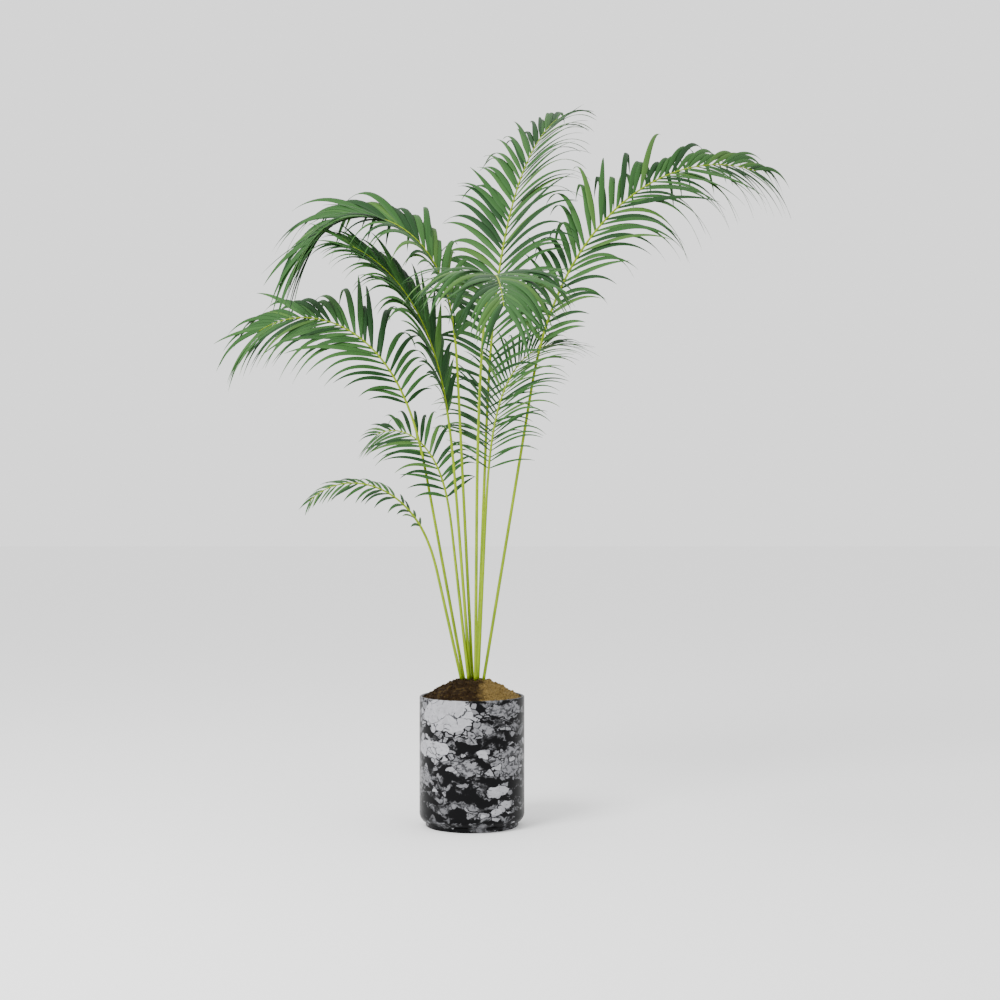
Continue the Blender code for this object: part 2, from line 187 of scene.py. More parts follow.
FRONDS = (
    Frond(
        number=1, foot=(-0.030, -0.004), heading=187, swing=0, lean=12.7, arch=124, arch_power=1.6,
        bend=0.30, leafy_from=0.45, length=0.83, pairs=18, leaflet=0.11, leaflet_width=0.0135,
        slim_base=1.0, base_share=0.65, full_by=0.40, tip_share=0.45, open_base=64, open_tip=28,
        open_power=1.5, lift_base=2, lift_tip=-12, roll=-9, twist=-25, sag=2.0, sag_at_tip=1.15, crowding=1.2,
    ),
    Frond(
        number=2, foot=(-0.023, 0.008), heading=155, swing=6.5, lean=11.7, arch=108.5, arch_power=1.77,
        bend=0.565, leafy_from=0.80, length=1.42, pairs=30, leaflet=0.275, leaflet_width=0.021,
        slim_base=0.8, base_share=0.42, full_by=0.36, tip_share=0.75, open_base=56, open_tip=18,
        open_power=1.0, lift_base=4, lift_tip=0, roll=-34, twist=-30, sag=1.6, sag_at_tip=1.3, crowding=1.15,
    ),
    Frond(
        number=3, foot=(-0.010, 0.004), heading=148, swing=5, lean=7.6, arch=108, arch_power=2.24,
        bend=0.39, leafy_from=0.52, length=0.875, pairs=19, leaflet=0.175, leaflet_width=0.014,
        slim_base=1.0, base_share=0.60, full_by=0.50, tip_share=0.55, open_base=60, open_tip=26,
        open_power=1.2, lift_base=6, lift_tip=-6, roll=-34, twist=-20, sag=1.7, sag_at_tip=1.2, crowding=1.1,
    ),
    Frond(
        number=4, foot=(-0.005, 0.016), heading=184, swing=0, lean=4.4, arch=60.5, arch_power=2.67,
        bend=0.43, leafy_from=0.76, length=1.335, pairs=32, leaflet=0.240, leaflet_width=0.027,
        slim_base=1.0, base_share=0.58, full_by=0.42, tip_share=0.60, open_base=38, open_tip=18,
        open_power=0.8, lift_base=10, lift_tip=0, roll=-17, twist=-20, sag=1.4, sag_at_tip=1.2, crowding=1.2,
    ),
    Frond(
        number=5, foot=(0.001, 0.027), heading=178, swing=-7.5, lean=2.8, arch=146, arch_power=2.22,
        bend=0.836, leafy_from=0.97, length=1.634, pairs=36, leaflet=0.3, leaflet_width=0.026,
        slim_base=1.0, base_share=0.46, full_by=0.49, tip_share=0.95, open_base=52, open_tip=14,
        open_power=0.8, lift_base=16, lift_tip=10, roll=-5, twist=-42, sag=1.7, sag_at_tip=1.3, crowding=1.2,
    ),
    Frond(
        number=6, foot=(0.010, -0.020), heading=274, swing=1, lean=8, arch=120, arch_power=1.27,
        bend=0.43, leafy_from=1.14, length=1.74, pairs=30, leaflet=0.27, leaflet_width=0.0185,
        slim_base=1.0, base_share=0.75, full_by=0.25, tip_share=0.70, open_base=68, open_tip=20,
        open_power=1.1, lift_base=14, lift_tip=8, roll=0, twist=0, sag=1.7, sag_at_tip=1.0, crowding=1.1,
    ),
    Frond(
        number=7, foot=(0.014, 0.004), heading=72, swing=-9, lean=6.7, arch=55, arch_power=1.74,
        bend=0.63, leafy_from=0.67, length=1.915, pairs=50, leaflet=0.275, leaflet_width=0.0235,
        slim_base=0.38, base_share=0.56, full_by=0.36, tip_share=0.8, open_base=66, open_tip=14,
        open_power=1.2, lift_base=15, lift_tip=11, roll=-4, twist=6, sag=1.4, sag_at_tip=0.65, crowding=1.05,
    ),
    Frond(
        number=8, foot=(0.017, -0.006), heading=42, swing=-9, lean=3.5, arch=83, arch_power=3.8,
        bend=0.274, leafy_from=0.60, length=1.074, pairs=34, leaflet=0.215, leaflet_width=0.0095,
        slim_base=0.8, base_share=0.70, full_by=0.25, tip_share=0.70, open_base=64, open_tip=20,
        open_power=1.1, lift_base=12, lift_tip=8, roll=26, twist=0, sag=1.3, sag_at_tip=1.0, crowding=1.1,
    ),
    Frond(
        number=9, foot=(0.033, -0.004), heading=28, swing=9, lean=10.6, arch=86.5, arch_power=1.18,
        bend=0.85, leafy_from=0.98, length=2.095, pairs=42, leaflet=0.300, leaflet_width=0.022,
        slim_base=1.0, base_share=0.45, full_by=0.40, tip_share=0.75, open_base=54, open_tip=20,
        open_power=0.8, lift_base=12, lift_tip=6, roll=32, twist=34, sag=1.9, sag_at_tip=1.1, crowding=1.05,
    ),
)


class Leaflet(NamedTuple):
    """One leaflet as it leaves its midrib, before gravity bends it."""

    station: float
    direction: Vector
    rib_way: Vector
    upper: Vector
    length: float
    width: float
    sag: float
    shingle: float


def smooth_rise(share):
    """0 to 1 with level ends."""
    held = min(1.0, max(0.0, share))
    return held * held * (3 - 2 * held)


def between(start, end, share):
    """The value at a share of the way from start to end."""
    return start + (end - start) * share


class Midrib:
    """The arching middle line of one frond, walked from the soil in short even steps."""

    def __init__(self, frond):
        self.frond = frond
        self.steps = math.ceil(frond.length / WALK_STEP)
        self.step = frond.length / self.steps
        self.points = [Vector((frond.foot[0], frond.foot[1], SOIL_TOP_HEIGHT + GAP))]
        for index in range(self.steps):
            forward = self.axes((index + 0.5) * self.step)[0]
            self.points.append(self.points[-1] + forward * self.step)

    def axes(self, station):
        """Forward, sideways and upper directions: the leaflets' rows stand out sideways."""
        frond = self.frond
        bent = max(0.0, (station - frond.bend) / (frond.length - frond.bend))
        tilt = math.radians(frond.lean + frond.arch * bent**frond.arch_power)
        heading = math.radians(frond.heading + frond.swing * bent)
        away = Vector((math.cos(heading), math.sin(heading), 0))
        forward = away * math.sin(tilt) + Vector((0, 0, math.cos(tilt)))
        level = Vector((-math.sin(heading), math.cos(heading), 0))
        inner = Vector((0, 0, math.sin(tilt))) - away * math.cos(tilt)
        roll = math.radians(frond.roll + frond.twist * bent)
        sideways = level * math.cos(roll) + inner * math.sin(roll)
        upper = inner * math.cos(roll) - level * math.sin(roll)
        return forward, sideways, upper

    def point(self, station):
        """The place at a station, between the two nearest steps."""
        place = min(self.steps, max(0.0, station / self.step))
        index = min(self.steps - 1, int(place))
        return self.points[index].lerp(self.points[index + 1], place - index)

    def radius(self, station):
        """The radius at a station. It falls slowly at first, and faster towards the tip."""
        share = station / self.frond.length
        return between(STALK_FOOT_RADIUS, RIB_TIP_RADIUS, share**RIB_TAPER_POWER)


def leaflets_of(frond, rib):
    """Every leaflet of a frond, in opposite pairs from the lowest to the tip, with the scatter of growth."""
    chance = random.Random(frond.number)
    leafy = frond.length - frond.leafy_from
    for pair in range(frond.pairs):
        place = (pair + 0.5 + chance.uniform(-STATION_SCATTER, STATION_SCATTER)) / frond.pairs
        share = 1 - (1 - place) ** frond.crowding
        station = frond.leafy_from + leafy * share
        forward, sideways, upper = rib.axes(station)
        calm = between(1, SCATTER_AT_TIP, share)
        grown = between(frond.base_share, 1, smooth_rise(share / frond.full_by))
        grown *= between(1, frond.tip_share, smooth_rise(2 * share - 1))
        narrowing = smooth_rise((share - TIP_NARROWING_FROM) / (1 - TIP_NARROWING_FROM))
        width = frond.leaflet_width * between(NARROW_LEAFLET_SHARE, 1, grown)
        width *= between(1, TIP_WIDTH_SHARE, narrowing)
        width *= between(frond.slim_base, 1, smooth_rise(share / SLIM_UNTIL))
        for side in (-1, 1):
            opening = between(frond.open_base, frond.open_tip, share**frond.open_power)
            opening = math.radians(opening + chance.uniform(-1, 1) * OPEN_SCATTER * calm)
            lift = between(frond.lift_base, frond.lift_tip, share)
            lift = math.radians(lift + chance.uniform(-1, 1) * LIFT_SCATTER * calm)
            out = sideways * (side * math.cos(lift)) + upper * math.sin(lift)
            length = frond.leaflet * grown * (1 + chance.uniform(-1, 1) * LENGTH_SCATTER)
            sag = frond.sag * between(1, frond.sag_at_tip, share) * (1 + chance.uniform(-1, 1) * SAG_SCATTER)
            stiff = chance.random() < STIFF_SHARE
            yield Leaflet(
                station=station,
                direction=forward * math.cos(opening) + out * math.sin(opening),
                rib_way=forward,
                upper=upper,
                length=length,
                width=width,
                sag=sag * (STIFF_SAG if stiff else 1) * length / SAG_LENGTH,
                shingle=math.radians(SHINGLE + chance.uniform(-1, 1) * SHINGLE_SCATTER),
            )


def leaflet_axes(leaflet, share):
    """Direction, width way and upper side of a leaflet at a share of its length, as its weight bends it."""
    along = (leaflet.direction - Vector((0, 0, leaflet.sag * share**SAG_POWER))).normalized()
    root_way = (leaflet.rib_way - leaflet.direction * leaflet.rib_way.dot(leaflet.direction)).normalized()
    across = (root_way - along * root_way.dot(along)).normalized()
    face = along.cross(across).normalized()
    if face.dot(leaflet.upper) < 0:
        face.negate()
    width_way = across * math.cos(leaflet.shingle) + face * math.sin(leaflet.shingle)
    upper_side = face * math.cos(leaflet.shingle) - across * math.sin(leaflet.shingle)
    return along, width_way, upper_side


def leaflet_half_width(leaflet, share):
    """A narrow root, the full width by a third of the way, and a long point."""
    widening = min(1.0, LEAFLET_ROOT_SHARE + LEAFLET_WIDENING * share)
    return leaflet.width / 2 * widening * (1 - share**LEAFLET_POINT_POWER)


def arc(middle_radius, middle_height, size, start, end):
    """Profile points on a round of the given size, from one angle to another."""
    points = []
    for index in range(ARC_STEPS + 1):
        angle = math.radians(between(start, end, index / ARC_STEPS))
        points.append((middle_radius + size * math.cos(angle), middle_height + size * math.sin(angle)))
    return points


def ring(bm, points):
    """Corners at the points, and the closed loop of edges through them."""
    corners = [bm.verts.new(point) for point in points]
    return [bm.edges.new((corners[index - 1], corners[index])) for index in range(len(corners))]


def skin(bm, rings):
    """Skins a row of rings into one closed tube."""
    loops = [ring(bm, points) for points in rings]
    for lower, higher in zip(loops, loops[1:]):
        bmesh.ops.bridge_loops(bm, edges=lower + higher)
    bmesh.ops.contextual_create(bm, geom=loops[0])
    bmesh.ops.contextual_create(bm, geom=loops[-1])


def mesh_from(name, bm):
    """The bmesh's shape as a mesh. The bmesh is freed."""
    mesh = bpy.data.meshes.new(name)
    bm.to_mesh(mesh)
    bm.free()
    return mesh


def piece_from(name, bm, finishes, slot, *nodes):
    """Puts a finished bmesh on the plant's body as a named piece, in place of the nodes."""
    mesh = mesh_from(name, bm)
    for finish in finishes:
        mesh.materials.append(finish)
    piece = bpy.data.objects.new(name, mesh)
    bpy.context.scene.collection.objects.link(piece)
    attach(piece, "root")
    if nodes:
        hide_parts(*nodes)
    return piece


def turned(profile, steps):
    """A closed solid turned from a profile of radius and height pairs that starts and ends on the axis."""
    bm = bmesh.new()
    points = [bm.verts.new((radius, 0, height)) for radius, height in profile]
    edges = [bm.edges.new(pair) for pair in zip(points, points[1:])]
    bmesh.ops.spin(
        bm,
        geom=points + edges,
        cent=(0, 0, 0),
        axis=(0, 0, 1),
        angle=2 * math.pi,
        steps=steps,
        use_merge=True,
    )
    bmesh.ops.remove_doubles(bm, verts=bm.verts, dist=MERGE_DISTANCE)
    bmesh.ops.recalc_face_normals(bm, faces=bm.faces)
    return bm


# Places of a Mix node's sockets when it mixes colours.
MIX_FACTOR = 0
MIX_FIRST = 6
MIX_SECOND = 7
MIX_COLOUR = 2


class Nodes:
    """A short hand for building one node tree."""

    def __init__(self, tree):
        self.tree = tree

    def feed(self, node, inputs):
        """Links each input that is given a socket, and sets the others to their values."""
        for socket, value in inputs.items():
            if isinstance(value, bpy.types.NodeSocket):
                self.tree.links.new(value, node.inputs[socket])
            else:
                node.inputs[socket].default_value = value

    def add(self, kind, inputs=None, **settings):
        """A new node with these settings and inputs."""
        node = self.tree.nodes.new(kind)
        for setting, value in settings.items():
            setattr(node, setting, value)
        self.feed(node, inputs or {})
        return node

    def place(self, kind):
        """Where a point lies: Object is in metres from the pot's foot, and UV is on the leaflet's strip."""
        return self.add("ShaderNodeTexCoord").outputs[kind]

    def math(self, operation, first, second):
        """What the operation makes of two numbers."""
        return self.add("ShaderNodeMath", {0: first, 1: second}, operation=operation).outputs[0]

    def vector(self, operation, first, second):
        """What the operation makes of two vectors."""
        return self.add("ShaderNodeVectorMath", {0: first, 1: second}, operation=operation).outputs[0]

    def scaled(self, vector, by):
        """The vector at this many times its length."""
        return self.add("ShaderNodeVectorMath", {0: vector, "Scale": by}, operation="SCALE").outputs[0]

    def faded(self, mask, to):
        """The mask, which reaches this number where it was 1."""
        return self.math("MULTIPLY", mask, to)

    def run(self, mask, low, high):
        """A number that runs from low where the mask is 0 to high where it is 1."""
        return self.math("ADD", self.faded(mask, to=high - low), low)

    def ramp(self, value, zero_at, one_at):
        """0 at one value and 1 at the other, with a smooth step between them. Either may be the higher."""
        inputs = {"Value": value, "From Min": zero_at, "From Max": one_at}
        node = self.add("ShaderNodeMapRange", inputs, clamp=True, interpolation_type="SMOOTHSTEP")
        return node.outputs["Result"]

    def mix(self, mask, first, second):
        """The first colour where the mask is 0, and the second one where it is 1."""
        inputs = {MIX_FACTOR: mask, MIX_FIRST: first, MIX_SECOND: second}
        return self.add("ShaderNodeMix", inputs, data_type="RGBA").outputs[MIX_COLOUR]

    def bump(self, height, strength, distance):
        """A surface that stands up where the height mask is 1."""
        inputs = {"Height": height, "Strength": strength, "Distance": distance}
        return self.add("ShaderNodeBump", inputs).outputs["Normal"]


def new_group(name, inputs, outputs):
    """An empty shader group with named sockets, and the two ends to build between."""
    tree = bpy.data.node_groups.new(name, "ShaderNodeTree")
    for socket, kind, value in inputs:
        made = tree.interface.new_socket(name=socket, in_out="INPUT", socket_type=kind)
        if value is not None:
            made.default_value = value
    for socket, kind in outputs:
        tree.interface.new_socket(name=socket, in_out="OUTPUT", socket_type=kind)
    nodes = Nodes(tree)
    return nodes, nodes.add("NodeGroupInput"), nodes.add("NodeGroupOutput")


def grain_group():
    """Fine streaks or specks from stretched noise, as a mask from 0 to 1. Used by every finish."""
    name = "Fine Grain"
    if name in bpy.data.node_groups:
        return bpy.data.node_groups[name]
    inputs = [
        ("Place", "NodeSocketVector", None),
        ("Stretch", "NodeSocketVector", (1, 1, 1)),
        ("Detail", "NodeSocketFloat", 4.0),
        ("Low", "NodeSocketFloat", 0.35),
        ("High", "NodeSocketFloat", 0.65),
    ]
    nodes, start, end = new_group(name, inputs, [("Mask", "NodeSocketFloat")])
    stretched = nodes.vector("MULTIPLY", start.outputs["Place"], start.outputs["Stretch"])
    detail = start.outputs["Detail"]
    streaks = nodes.add("ShaderNodeTexNoise", {"Vector": stretched, "Scale": 1.0, "Detail": detail})
    mask = nodes.ramp(streaks.outputs["Fac"], zero_at=start.outputs["Low"], one_at=start.outputs["High"])
    nodes.feed(end, {"Mask": mask})
    return nodes.tree


def patch_group():
    """A stony patch: whole near its centre, and broken into cells round that."""
    name = "Stone Patch"
    if name in bpy.data.node_groups:
        return bpy.data.node_groups[name]
    inputs = [
        ("Place", "NodeSocketVector", None),
        ("Cell", "NodeSocketVector", None),
        ("Centre", "NodeSocketVector", (0, 0, 0)),
        ("Reach", "NodeSocketVector", (0.03, 0.03, 0.03)),
    ]
    outputs = [("Whole", "NodeSocketFloat"), ("Broken", "NodeSocketFloat")]
    nodes, start, end = new_group(name, inputs, outputs)
    for source, target, edge in (("Place", "Whole", WHOLE_EDGE), ("Cell", "Broken", BROKEN_EDGE)):
        offset = nodes.vector("SUBTRACT", start.outputs[source], start.outputs["Centre"])
        share = nodes.vector("DIVIDE", offset, start.outputs["Reach"])
        length = nodes.add("ShaderNodeVectorMath", {0: share}, operation="LENGTH").outputs["Value"]
        nodes.feed(end, {target: nodes.ramp(length, *edge)})
    return nodes.tree


def new_material(name):
    """A material, its node helper and its Principled shader."""
    made = bpy.data.materials.new(name)
    made.use_nodes = True
    return made, Nodes(made.node_tree), made.node_tree.nodes["Principled BSDF"]


def grain(nodes, place, stretch, detail, low, high):
    """A mask of streaks or specks, which get finer with the stretch and fewer with low and high."""
    inputs = {"Place": place, "Stretch": stretch, "Detail": detail, "Low": low, "High": high}
    return nodes.add("ShaderNodeGroup", inputs, node_tree=grain_group()).outputs["Mask"]


def rgba(colour, brightness=1.0):
    """The colour at a brightness, with the alpha that a shader's socket takes."""
    return (colour[0] * brightness, colour[1] * brightness, colour[2] * brightness, 1.0)


def shaded(nodes, mask, colour, least, most):
    """One colour, at its least brightness where the mask is 0 and at its most where it is 1."""
    return nodes.mix(mask, rgba(colour, least), rgba(colour, most))


# Centre and reach of each patch of the marble. Those with a positive Y lie on the pot's back.
PALE_PATCHES = (
    ((-0.070, -0.125, 0.330), (0.085, 0.12, 0.052)),
    ((-0.108, -0.100, 0.232), (0.056, 0.10, 0.027)),
    ((0.027, -0.145, 0.225), (0.016, 0.08, 0.009)),
    ((0.074, -0.130, 0.117), (0.032, 0.08, 0.017)),
    ((0.068, -0.130, 0.059), (0.017, 0.08, 0.010)),
    ((0.094, -0.115, 0.079), (0.016, 0.08, 0.009)),
    ((0.033, -0.140, 0.047), (0.011, 0.08, 0.006)),
    ((0.010, 0.145, 0.270), (0.080, 0.10, 0.050)),
    ((0.120, 0.080, 0.110), (0.060, 0.08, 0.030)),
    ((-0.090, 0.110, 0.120), (0.050, 0.10, 0.034)),
)
GREY_PATCHES = (
    ((0.106, -0.105, 0.195), (0.050, 0.08, 0.042)),
    ((0.035, -0.140, 0.290), (0.034, 0.08, 0.018)),
    ((0.094, -0.110, 0.342), (0.060, 0.08, 0.020)),
    ((-0.020, -0.145, 0.180), (0.045, 0.08, 0.022)),
    ((-0.020, -0.145, 0.265), (0.034, 0.08, 0.010)),
    ((-0.130, -0.060, 0.150), (0.026, 0.06, 0.030)),
    ((0.000, 0.140, 0.150), (0.050, 0.08, 0.040)),
)


def patches(nodes, place, cell, listed):
    """The whole and the broken part of the listed patches, as two masks."""
    whole = 0.0
    broken = 0.0
    for centre, reach in listed:
        inputs = {"Place": place, "Cell": cell, "Centre": centre, "Reach": reach}
        patch = nodes.add("ShaderNodeGroup", inputs, node_tree=patch_group())
        whole = nodes.math("MAXIMUM", patch.outputs["Whole"], whole)
        broken = nodes.math("MAXIMUM", patch.outputs["Broken"], broken)
    return whole, broken


def marble(colours):
    """Black stone with grey smears and pale pieces that break up at their edges, under a polish."""
    made, nodes, shader = new_material("polished marble")
    dark = rgba(colours.marble_dark)
    here = nodes.place("Object")
    wobble = nodes.add("ShaderNodeTexNoise", {"Vector": here, "Scale": 20.0, "Detail": 6.0, "Roughness": 0.6})
    centred = nodes.vector("SUBTRACT", wobble.outputs["Color"], (0.5, 0.5, 0.5))
    torn = nodes.vector("ADD", here, nodes.scaled(centred, by=0.07))
    eased = nodes.vector("ADD", here, nodes.scaled(centred, by=0.035))

    # Angular cells, which give each piece its place, its chances and its outline.
    flat = nodes.vector("MULTIPLY", eased, (1, 1, CELL_FLATNESS))
    grid = {"Vector": flat, "Scale": CELL_SCALE}
    cells = nodes.add("ShaderNodeTexVoronoi", grid)
    cell = nodes.vector("MULTIPLY", cells.outputs["Position"], (1, 1, 1 / CELL_FLATNESS))
    chance = nodes.add("ShaderNodeSeparateColor", {"Color": cells.outputs["Color"]})
    edges = nodes.add("ShaderNodeTexVoronoi", grid, feature="DISTANCE_TO_EDGE")
    solid = nodes.ramp(edges.outputs["Distance"], zero_at=0.07, one_at=0.13)

    # Grey smears on the dark stone.
    smear = grain(nodes, torn, stretch=(18, 18, 54), detail=9.0, low=0.51, high=0.57)
    cloud = grain(nodes, torn, stretch=(60, 60, 110), detail=6.0, low=0.34, high=0.66)
    stone = nodes.mix(smear, dark, shaded(nodes, cloud, colours.marble_grey, least=0.12, most=1.45))

    # Mottled grey patches, dark between their broken pieces.
    mottle = grain(nodes, eased, stretch=(90, 90, 130), detail=6.0, low=0.40, high=0.56)
    grey = shaded(nodes, mottle, colours.marble_grey, least=0.4, most=1.7)
    whole, broken = patches(nodes, eased, cell, GREY_PATCHES)
    stone = nodes.mix(nodes.faded(broken, to=0.9), stone, dark)
    stone = nodes.mix(nodes.math("MAXIMUM", whole, nodes.math("MULTIPLY", broken, solid)), stone, grey)

    # Pale patches over them, and stray pieces anywhere.
    pale = shaded(nodes, cloud, colours.marble_pale, least=0.82, most=1.0)
    chip = nodes.mix(chance.outputs["Green"], rgba(colours.marble_grey, brightness=1.2), pale)
    whole, broken = patches(nodes, eased, cell, PALE_PATCHES)
    stray = nodes.ramp(chance.outputs["Red"], zero_at=0.90, one_at=0.91)
    broken = nodes.math("MAXIMUM", broken, stray)
    stone = nodes.mix(nodes.faded(broken, to=0.95), stone, dark)
    stone = nodes.mix(nodes.math("MULTIPLY", broken, solid), stone, chip)
    stone = nodes.mix(whole, stone, pale)

    # Fine cracks here and there, and pits.
    fine = nodes.add("ShaderNodeTexVoronoi", {"Vector": flat, "Scale": 26.0}, feature="DISTANCE_TO_EDGE")
    lines = nodes.ramp(fine.outputs["Distance"], zero_at=0.045, one_at=0.015)
    gate = grain(nodes, here, stretch=(26, 26, 26), detail=3.0, low=0.50, high=0.56)
    pits = grain(nodes, here, stretch=(130, 130, 230), detail=4.0, low=0.64, high=0.70)
    crack = nodes.math("MAXIMUM", nodes.math("MULTIPLY", lines, gate), nodes.faded(pits, to=0.85))
    stone = nodes.mix(nodes.faded(crack, to=0.9), stone, dark)

    rough = nodes.run(cloud, low=0.28, high=0.36)
    nodes.feed(shader, {"Base Color": stone, "Roughness": rough, "Specular IOR Level": 0.08})
    return made


def soil_finish(colours):
    """Dark crumbs under a painted shadow to the left, tan ones painted as in full light to the right, with a
    ragged border.
    """
    made, nodes, shader = new_material("potting soil")
    here = nodes.place("Object")
    side = nodes.add("ShaderNodeSeparateXYZ", {"Vector": here}).outputs["X"]
    ragged = nodes.add("ShaderNodeTexNoise", {"Vector": here, "Scale": 45.0, "Detail": 6.0}).outputs["Fac"]
    # The right side is painted as lit and the rest as in shadow, with a ragged border. This mask is 1 on the
    # lit side.
    lit_side = nodes.ramp(nodes.math("ADD", side, nodes.faded(ragged, to=0.08)), zero_at=0.052, one_at=0.082)
    specks = grain(nodes, here, stretch=(420, 420, 420), detail=3.0, low=0.38, high=0.62)
    mottle = grain(nodes, here, stretch=(70, 70, 110), detail=4.0, low=0.48, high=0.66)
    # The left side is in painted shadow: dark soil with dimmed tan mottles and darker specks.
    tan_in_shade = rgba(colours.soil_tan_lit, brightness=0.7)
    earth = nodes.mix(nodes.faded(mottle, to=0.55), rgba(colours.soil_in_shadow), tan_in_shade)
    shaded_side = nodes.mix(specks, rgba(colours.soil_in_shadow, brightness=0.35), earth)
    # The right side is the tan soil, painted as in full light, with specks.
    tan = shaded(nodes, specks, colours.soil_tan_lit, least=0.45, most=1.25)
    inputs = {
        "Base Color": nodes.mix(lit_side, shaded_side, tan),
        "Roughness": 0.95,
        "Specular IOR Level": 0.1,
        "Normal": nodes.bump(specks, strength=0.7, distance=0.002),
    }
    nodes.feed(shader, inputs)
    return made


def stalk_finish(colours):
    """Yellow-green skin with fine lengthwise streaks and a soft gloss."""
    made, nodes, shader = new_material("green stalk")
    here = nodes.place("Object")
    streak = grain(nodes, here, stretch=(900, 900, 14), detail=3.0, low=0.3, high=0.7)
    blotch = grain(nodes, here, stretch=(60, 60, 6), detail=3.0, low=0.35, high=0.7)
    green = shaded(nodes, streak, colours.stalk, least=0.72, most=1.12)
    inputs = {
        "Base Color": nodes.mix(nodes.faded(blotch, to=0.45), green, rgba(colours.stalk_shade)),
        "Roughness": 0.45,
        "Specular IOR Level": 0.14,
        "Normal": nodes.bump(streak, strength=0.25, distance=0.0004),
    }
    nodes.feed(shader, inputs)
    return made


def leaf_finish(name, colour):
    """One plain green, with the fine veins that run along each leaflet."""
    made, nodes, shader = new_material(name)
    vein = grain(nodes, nodes.place("UV"), stretch=(26, 1.5, 1), detail=2.0, low=0.3, high=0.7)
    inputs = {
        "Base Color": shaded(nodes, vein, colour, least=0.8, most=1.16),
        "Roughness": nodes.run(vein, low=0.44, high=0.56),
        "Specular IOR Level": 0.12,
        "Normal": nodes.bump(vein, strength=0.3, distance=0.0004),
    }
    nodes.feed(shader, inputs)
    return made


class PotSettings(bpy.types.PropertyGroup):
    """Sizes of the pot."""

    width: FloatProperty(name="Width", description="Width of the pot", default=0.300, unit="LENGTH")
    height: FloatProperty(name="Height", description="Height of the pot", default=0.370, unit="LENGTH")
    steps: IntProperty(name="Steps", description="Steps round the pot", default=128, min=24)


class SoilSettings(bpy.types.PropertyGroup):
    """Relief and crumbs of the soil."""

    relief: FloatProperty(name="Relief", description="Height of the lumps", default=0.004, unit="LENGTH")
    crumbs: IntProperty(name="Crumbs", description="Loose crumbs on the mound", default=1500, min=0)
    crumb_size: FloatProperty(name="Crumb size", description="Largest crumb", default=0.0045, unit="LENGTH")


class FrondSettings(bpy.types.PropertyGroup):
    """Fineness of the stalks and leaflets."""

    rib_step: FloatProperty(name="Ring step", description="Step along a stalk", default=0.012, unit="LENGTH")
    rib_sides: IntProperty(name="Sides", description="Sides round a stalk", default=14, min=6)
    rows: IntProperty(name="Rows", description="Faces along a leaflet", default=16, min=4)
    columns: IntProperty(name="Columns", description="Faces across a leaflet", default=4, min=2)
    fold: FloatProperty(name="Fold", description="How far a leaflet's middle stands up", default=0.16)
    thickness: FloatProperty(name="Thickness", description="Leaflet thickness", default=0.0006, unit="LENGTH")


class ColourSettings(bpy.types.PropertyGroup):
    """Base colours."""

    marble_dark: FloatVectorProperty(
        name="Marble dark", description="Dark stone", default=(0.0015, 0.0015, 0.002), subtype="COLOR"
    )
    marble_grey: FloatVectorProperty(
        name="Marble grey", description="Grey smears", default=(0.105, 0.105, 0.112), subtype="COLOR"
    )
    marble_pale: FloatVectorProperty(
        name="Marble pale", description="Pale pieces", default=(0.34, 0.34, 0.36), subtype="COLOR"
    )
    # The soil's colour under the painted shadow on the left, and its tan as painted in full light on the
    # right.
    soil_in_shadow: FloatVectorProperty(
        name="Shaded soil", description="Soil under painted shadow", default=(0.022, 0.011, 0.003), subtype="COLOR"
    )
    soil_tan_lit: FloatVectorProperty(
        name="Lit soil", description="Tan soil in full light", default=(0.17, 0.112, 0.034), subtype="COLOR"
    )
    stalk: FloatVectorProperty(
        name="Stalk", description="Stalk skin", default=(0.215, 0.315, 0.002), subtype="COLOR"
    )
    stalk_shade: FloatVectorProperty(
        name="Stalk shade", description="Darker stalk patches", default=(0.08, 0.16, 0.003), subtype="COLOR"
    )
    green_one: FloatVectorProperty(
        name="Green 1", description="Most leaflets", default=(0.026, 0.082, 0.019), subtype="COLOR"
    )
    green_two: FloatVectorProperty(
        name="Green 2", description="Deeper leaflets", default=(0.013, 0.046, 0.012), subtype="COLOR"
    )
    green_three: FloatVectorProperty(
        name="Green 3", description="Paler leaflets", default=(0.036, 0.104, 0.024), subtype="COLOR"
    )
    green_four: FloatVectorProperty(
        name="Green 4", description="Youngest leaflets", default=(0.052, 0.126, 0.024), subtype="COLOR"
    )


class StageSettings(bpy.types.PropertyGroup):
    """Camera, floor and light."""

    camera: FloatVectorProperty(
        name="Camera", description="Place of the camera", default=(0.08, -5.0, 0.928), subtype="TRANSLATION"
    )
    lens: FloatProperty(name="Lens", description="Focal length in millimetres", default=63.0)
    floor: FloatProperty(name="Floor", description="Width of the floor", default=60.0, unit="LENGTH")
    world: FloatProperty(name="World", description="Brightness of the room", default=1.6)
    key: FloatProperty(name="Key light", description="Power of the main light in watts", default=300.0)


class PALM_OT_pot(bpy.types.Operator):
    """Turn the marble pot"""

    bl_idname = "palm.pot"
    bl_label = "Pot"

    def execute(self, context):
        pot = context.scene.palm_pot
        outer = pot.width / 2
        inner = outer - POT_WALL
        belly = POT_BELLY_HEIGHT - POT_FOOT_HEIGHT
        lip = POT_WALL / 2
        profile = [(0, 0)]
        profile += arc(POT_FOOT_WIDTH / 2 - POT_EDGE, POT_EDGE, POT_EDGE, -90, 0)
        profile += [(POT_FOOT_WIDTH / 2, POT_FOOT_HEIGHT)]
        profile += arc(outer - belly, POT_BELLY_HEIGHT, belly, BELLY_START_ANGLE, 0)
        profile += arc(outer - lip, pot.height - lip, lip, 0, 180)
        profile += [(inner, POT_FLOOR), (0, POT_FLOOR)]
        finish = marble(context.scene.palm_colours)
        piece = piece_from("marble_pot", turned(profile, pot.steps), [finish], "marble", "pot")
        piece.data.shade_smooth()
        piece.data.set_sharp_from_angle(angle=math.radians(SHARP_ANGLE))
        return {"FINISHED"}


